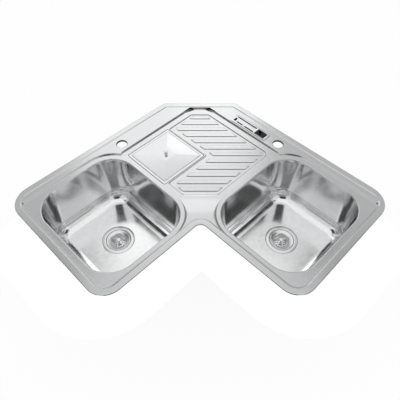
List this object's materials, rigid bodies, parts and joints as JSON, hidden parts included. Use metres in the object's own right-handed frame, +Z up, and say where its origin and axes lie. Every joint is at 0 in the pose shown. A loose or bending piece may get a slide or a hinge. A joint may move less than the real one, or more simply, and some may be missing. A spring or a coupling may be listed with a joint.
{
  "type": "corner kitchen sink",
  "caption": "Corner kitchen sink in stainless steel: a bowl with basket strainer in each arm, ribbed drainer, lidded waste bin, knife rack and open tap holes.",
  "frame": {"origin": "middle of the cut corner on the underside of the rim seal, which lies on the worktop", "axes": "+X along the longest side, to the right for a person at the front; +Y towards the room corner; +Z up"},
  "size_m": [1.1152, 0.7636, 0.3329],
  "materials": {
    "sheet_steel": "satin brushed sheet",
    "bowl_steel": "polished satin drawn sheet",
    "bright_steel": "polished",
    "plain_steel": "plain zinc plated",
    "dark_rubber": "matt",
    "seal_rubber": "matt foam",
    "black_plastic": "matt",
    "grey_plastic": "matt",
    "white_plastic": "matt"
  },
  "bodies": {
    "sink": {"sink_top": "sheet_steel", "left_bowl": "bowl_steel", "right_bowl": "bowl_steel", "rim_seal": "seal_rubber", "tap_backing_plates": "grey_plastic", "clip_nut_blocks": "plain_steel", "clip_claws": "plain_steel", "clip_screws": "plain_steel", "left_sound_pad": "dark_rubber", "right_sound_pad": "dark_rubber", "left_strainer_cup": "bright_steel", "left_flange_gasket": "dark_rubber", "left_washer": "dark_rubber", "left_friction_ring": "grey_plastic", "left_lock_nut": "white_plastic", "left_tail_gasket": "dark_rubber", "left_tailpiece": "white_plastic", "left_union_nut": "white_plastic", "right_strainer_cup": "bright_steel", "right_flange_gasket": "dark_rubber", "right_washer": "dark_rubber", "right_friction_ring": "grey_plastic", "right_lock_nut": "white_plastic", "right_tail_gasket": "dark_rubber", "right_tailpiece": "white_plastic", "right_union_nut": "white_plastic"},
    "left_basket": {"left_basket": "bright_steel", "left_basket_post": "bright_steel", "left_stopper": "dark_rubber"},
    "right_basket": {"right_basket": "bright_steel", "right_basket_post": "bright_steel", "right_stopper": "dark_rubber"},
    "waste_bin": {"waste_bin": "grey_plastic"},
    "bin_lid": {"bin_lid": "sheet_steel", "lid_knob": "bright_steel", "lid_screw": "plain_steel"},
    "knife_rack": {"rack_plate": "bright_steel", "rack_box": "black_plastic", "rack_comb": "black_plastic"}
  },
  "joints": [
    {"name": "left_basket_lift", "type": "slide", "parent": "sink", "child": "left_basket", "axis": [0, 0, 1], "range_m": [0, 0.25]},
    {"name": "right_basket_lift", "type": "slide", "parent": "sink", "child": "right_basket", "axis": [0, 0, 1], "range_m": [0, 0.25]},
    {"name": "bin_lift", "type": "slide", "parent": "sink", "child": "waste_bin", "axis": [0, 0, 1], "range_m": [0, 0.2]},
    {"name": "lid_lift", "type": "slide", "parent": "waste_bin", "child": "bin_lid", "axis": [0, 0, 1], "range_m": [0, 0.06]},
    {"name": "knife_rack_lift", "type": "slide", "parent": "sink", "child": "knife_rack", "axis": [0, 0, 1], "range_m": [0, 0.19]}
  ]
}
